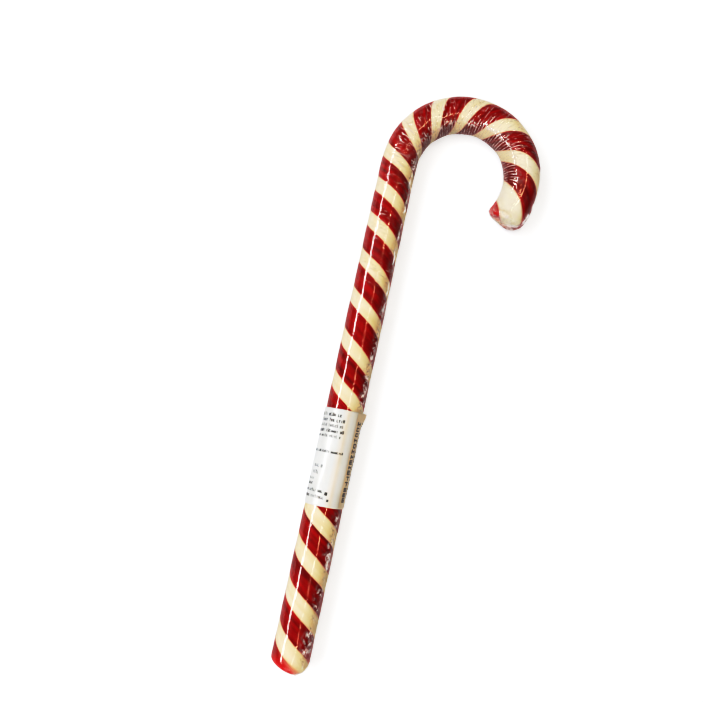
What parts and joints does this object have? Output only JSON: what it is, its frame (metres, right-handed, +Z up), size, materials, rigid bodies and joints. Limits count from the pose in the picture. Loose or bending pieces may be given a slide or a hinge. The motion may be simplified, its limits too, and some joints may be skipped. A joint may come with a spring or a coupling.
{
  "type": "candy cane",
  "caption": "Hooked stick of hard candy with red and cream spiral bands, in clear shrink wrap with a paper label round its stem.",
  "frame": {"origin": "middle of the footprint, on the surface that the cane lies on", "axes": "+Y along the stem from its foot to the hook, +X towards the side that the hook curls to, +Z up off the surface"},
  "size_m": [0.0624, 0.2252, 0.0143],
  "materials": {
    "candy_cream": "gloss",
    "candy_red": "gloss",
    "label_paper": "satin paper",
    "clear_film": "clear gloss"
  },
  "bodies": {
    "root": {"candy_stick": "candy_cream", "red_stripe_1": "candy_red", "red_stripe_2": "candy_red", "label": "label_paper", "film_wrap": "clear_film"}
  },
  "joints": []
}
